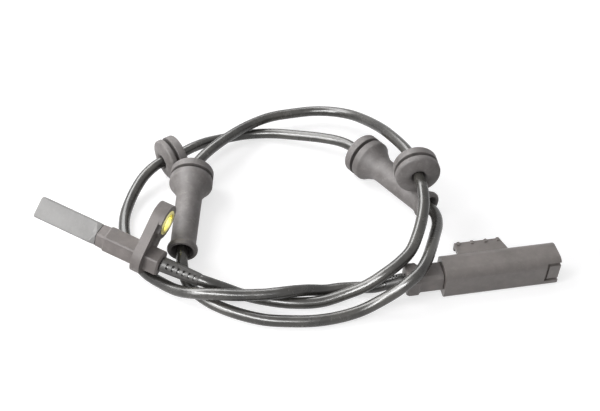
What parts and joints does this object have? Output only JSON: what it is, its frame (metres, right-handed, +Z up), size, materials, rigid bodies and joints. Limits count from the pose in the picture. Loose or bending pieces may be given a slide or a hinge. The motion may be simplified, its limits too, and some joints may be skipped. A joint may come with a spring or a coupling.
{
  "type": "wheel speed sensor",
  "caption": "Wheel speed sensor: a flat-bladed sensor head with a bushed mounting flange, a looped rubber cable carrying grooved body grommets, and a keyed socket connector.",
  "frame": {"origin": "a point on the flange's mounting face, between the sensor's body and the bush", "axes": "+X level, from the sensor head's tip towards its cable end; +Z up from the floor, which lies 18.7 mm below the origin; +Y from the head towards the loops of the cable"},
  "size_m": [0.2148, 0.1368, 0.0371],
  "materials": {
    "cap": "satin",
    "housing": "satin",
    "bush": "satin",
    "chip": "satin",
    "tinned_strip": "satin",
    "wire": "satin",
    "grommet": "matt",
    "boot": "matt",
    "shell": "satin",
    "carrier": "matt",
    "jacket": "satin",
    "relief": "matt"
  },
  "bodies": {
    "root": {"sensor_cap": "cap", "sensor_housing": "housing", "flange_bush": "bush", "hall_chip": "chip", "chip_carrier": "chip", "lead_a": "tinned_strip", "lead_b": "tinned_strip", "crimp_a": "tinned_strip", "crimp_b": "tinned_strip", "head_wire_a": "wire", "head_wire_b": "wire", "grommet_long_near": "grommet", "grommet_long_far": "grommet", "grommet_short_near": "grommet", "grommet_short_far": "grommet", "connector_boot": "boot", "connector_shell": "shell", "contact_carrier": "carrier", "contact_pin_a": "tinned_strip", "contact_pin_b": "tinned_strip", "connector_wire_a": "wire", "connector_wire_b": "wire", "cable": "jacket", "sensor_relief": "relief", "connector_relief": "relief"}
  },
  "joints": []
}
